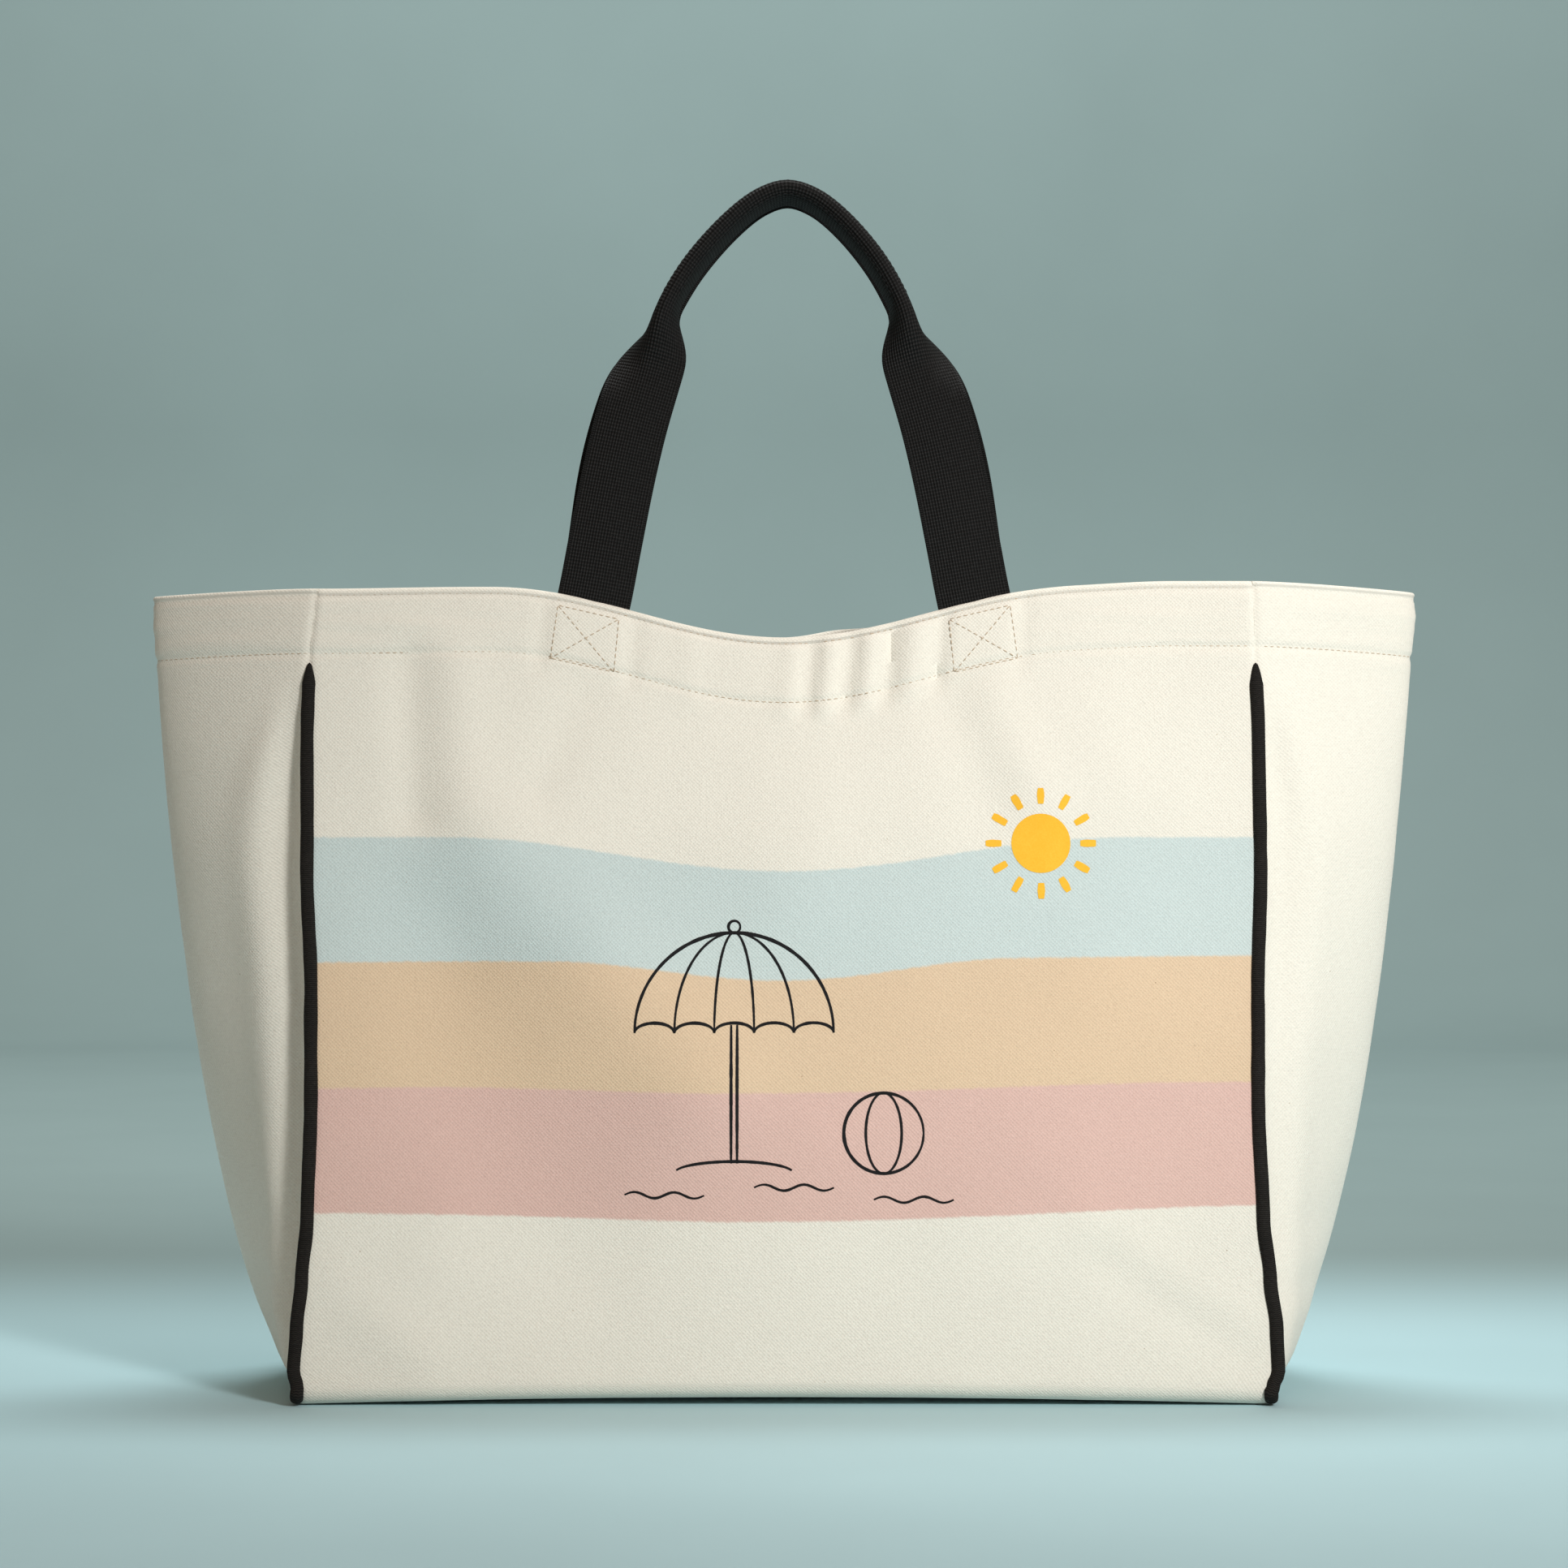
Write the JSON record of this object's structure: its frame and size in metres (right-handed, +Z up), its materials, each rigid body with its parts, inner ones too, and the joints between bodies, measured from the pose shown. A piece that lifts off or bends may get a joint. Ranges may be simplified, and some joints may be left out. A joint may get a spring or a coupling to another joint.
{
  "type": "beach bag",
  "caption": "Open-topped canvas beach bag with side gussets, bound side seams, a turned-in hem and webbing carry handles that stand up or hang down outside.",
  "frame": {"origin": "on the floor under the middle of the base", "axes": "+X to the right as seen from the front, along the bag's length; -Y to the front; +Z up"},
  "size_m": [0.6514, 0.2014, 0.6226],
  "materials": {
    "canvas": "matte woven cotton",
    "binding": "matte woven tape",
    "webbing": "matte woven webbing",
    "thread": "matte sewing thread",
    "black_thread": "matte sewing thread"
  },
  "bodies": {
    "bag": {"front_panel": "canvas", "back_panel": "canvas", "base_panel": "canvas", "left_gusset": "canvas", "right_gusset": "canvas", "front_hem": "canvas", "back_hem": "canvas", "left_hem": "canvas", "right_hem": "canvas", "front_left_binding": "binding", "front_right_binding": "binding", "back_left_binding": "binding", "back_right_binding": "binding", "left_base_binding": "binding", "right_base_binding": "binding", "front_left_handle_end": "webbing", "front_right_handle_end": "webbing", "back_left_handle_end": "webbing", "back_right_handle_end": "webbing", "rim_stitching": "thread", "hem_stitching": "thread", "handle_end_stitching": "thread"},
    "front_handle": {"front_handle_strap": "webbing", "front_grip_stitching": "black_thread"},
    "back_handle": {"back_handle_strap": "webbing", "back_grip_stitching": "black_thread"}
  },
  "joints": [
    {"name": "front_handle_swing", "type": "hinge", "parent": "bag", "child": "front_handle", "pos_m": [0, -0.0398, 0.41241], "axis": [1, 0, 0], "range_deg": [0, 172]},
    {"name": "back_handle_swing", "type": "hinge", "parent": "bag", "child": "back_handle", "pos_m": [0, 0.0398, 0.41241], "axis": [1, 0, 0], "range_deg": [-172, 0]}
  ]
}
